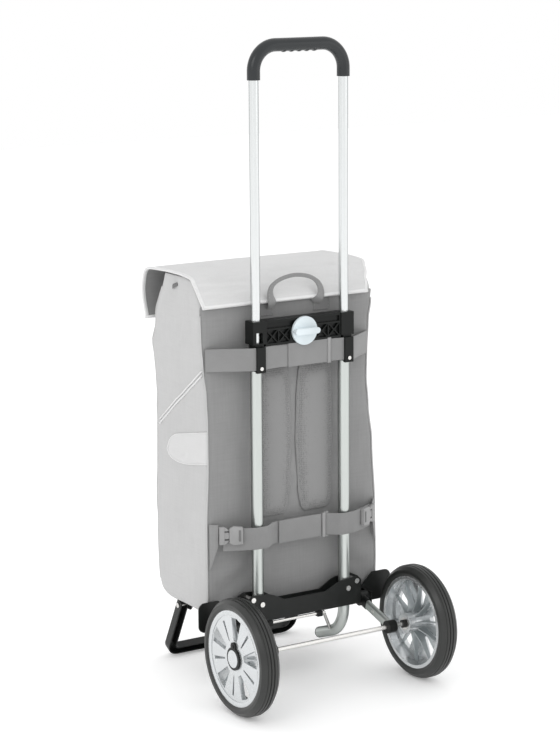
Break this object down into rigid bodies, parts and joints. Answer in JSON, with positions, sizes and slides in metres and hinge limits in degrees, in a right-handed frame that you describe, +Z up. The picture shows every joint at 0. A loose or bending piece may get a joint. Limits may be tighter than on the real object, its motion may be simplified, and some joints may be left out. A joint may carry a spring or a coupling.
{
  "type": "two-wheeled folding shopping trolley",
  "caption": "Folding push trolley: telescopic aluminium handle, black steel base with folding stand, wheeled undercarriage and a strapped-on lidded fabric bag.",
  "frame": {"origin": "on the floor, centred under the bounding box of the trolley as it stands", "axes": "+Z up, +Y towards the user behind the handle and wheels, the bag hangs on the -Y side, X across"},
  "size_m": [0.396, 0.449, 1.112],
  "materials": {
    "satin_aluminium": "satin anodised",
    "black_steel": "satin powder coat",
    "bright_steel": "bright zinc",
    "black_plastic": "fine-grained moulding",
    "charcoal_grip": "soft-touch moulding",
    "silver_plastic": "silver-grey satin moulding",
    "tyre_rubber": "matt rubber",
    "light_cloth": "woven polyester, light grey",
    "mid_cloth": "woven polyester and webbing, mid grey",
    "grey_plastic": "grey moulded buckle"
  },
  "bodies": {
    "frame": {"lower_tube_left": "satin_aluminium", "lower_tube_right": "satin_aluminium", "tube_end_plugs": "black_plastic", "bracket_rear_plate": "black_steel", "bracket_front_plate": "black_steel", "bracket_spacers": "bright_steel", "bracket_rivets": "bright_steel", "hinge_blocks": "black_steel", "hinge_pins": "bright_steel", "release_rod": "bright_steel", "rod_clips": "black_plastic", "shovel": "black_steel", "stand_pins": "bright_steel", "lock_housing": "black_plastic", "strap_hooks": "black_plastic", "hook_rivets": "bright_steel", "bag_body": "light_cloth", "back_panel": "mid_cloth", "back_pads": "mid_cloth", "base_board": "black_plastic", "rear_yoke": "light_cloth", "upper_strap": "mid_cloth", "lower_strap": "mid_cloth", "buckle_left": "grey_plastic", "buckle_right": "grey_plastic", "strap_ladder": "grey_plastic", "strap_tails": "mid_cloth", "side_patch": "light_cloth"},
    "undercarriage": {"leg_left": "satin_aluminium", "leg_right": "satin_aluminium", "leg_rivets": "bright_steel", "hinge_knuckles": "black_plastic", "wheel_guards": "black_steel", "axle_hubs": "black_plastic", "axle": "bright_steel", "axle_rings": "black_steel"},
    "wheel_left": {"tyre_left": "tyre_rubber", "rim_left": "silver_plastic", "bearings_left": "bright_steel", "hub_cap_left": "black_plastic", "cap_disc_left": "silver_plastic"},
    "wheel_right": {"tyre_right": "tyre_rubber", "rim_right": "silver_plastic", "bearings_right": "bright_steel", "hub_cap_right": "black_plastic", "cap_disc_right": "silver_plastic"},
    "button_left": {"release_button_left": "black_plastic"},
    "button_right": {"release_button_right": "black_plastic"},
    "stand": {"stand": "black_steel"},
    "handle": {"upper_tubes": "satin_aluminium", "guide_plugs": "black_plastic", "grip": "charcoal_grip"},
    "lock_knob": {"lock_knob": "silver_plastic"},
    "brake_left": {"brake_shoe_left": "black_plastic"},
    "brake_right": {"brake_shoe_right": "black_plastic"},
    "lid": {"lid": "light_cloth"},
    "carry_handle": {"carry_handle": "mid_cloth"}
  },
  "joints": [
    {"name": "undercarriage_fold", "type": "hinge", "parent": "frame", "child": "undercarriage", "pos_m": [0, 0.03354, 0.128], "axis": [1, 0, 0], "range_deg": [-80, 0]},
    {"name": "wheel_left_spin", "type": "hinge", "parent": "undercarriage", "child": "wheel_left", "pos_m": [0.18, 0.12454, 0.1], "axis": [1, 0, 0], "continuous": true},
    {"name": "wheel_right_spin", "type": "hinge", "parent": "undercarriage", "child": "wheel_right", "pos_m": [-0.18, 0.12454, 0.1], "axis": [1, 0, 0], "continuous": true},
    {"name": "button_left_press", "type": "slide", "parent": "wheel_left", "child": "button_left", "axis": [-1, 0, 0], "range_m": [0, 0.003], "stiffness_N_per_m": 300},
    {"name": "button_right_press", "type": "slide", "parent": "wheel_right", "child": "button_right", "axis": [1, 0, 0], "range_m": [0, 0.003], "stiffness_N_per_m": 300},
    {"name": "stand_fold", "type": "hinge", "parent": "frame", "child": "stand", "pos_m": [0, -0.16346, 0.108], "axis": [1, 0, 0], "range_deg": [0, 100]},
    {"name": "handle_slide", "type": "slide", "parent": "frame", "child": "handle", "axis": [0, 0, 1], "range_m": [-0.395, 0]},
    {"name": "knob_turn", "type": "hinge", "parent": "frame", "child": "lock_knob", "pos_m": [0, 0.02954, 0.622], "axis": [0, 1, 0], "range_deg": [0, 90]},
    {"name": "brake_left_slide", "type": "slide", "parent": "frame", "child": "brake_left", "axis": [-1, 0, 0], "range_m": [0, 0.0031]},
    {"name": "brake_right_slide", "type": "slide", "parent": "frame", "child": "brake_right", "axis": [1, 0, 0], "range_m": [0, 0.0031]},
    {"name": "lid_open", "type": "hinge", "parent": "frame", "child": "lid", "pos_m": [0, -0.02846, 0.7195], "axis": [-1, 0, 0], "range_deg": [0, 100]},
    {"name": "carry_handle_flop", "type": "hinge", "parent": "frame", "child": "carry_handle", "pos_m": [0, 0.01354, 0.657], "axis": [-1, 0, 0], "range_deg": [0, 90]}
  ],
  "couplings": [
    {"joint": "brake_left_slide", "follows": "knob_turn", "m_per_rad": 0.0019},
    {"joint": "brake_right_slide", "follows": "knob_turn", "m_per_rad": 0.0019}
  ]
}
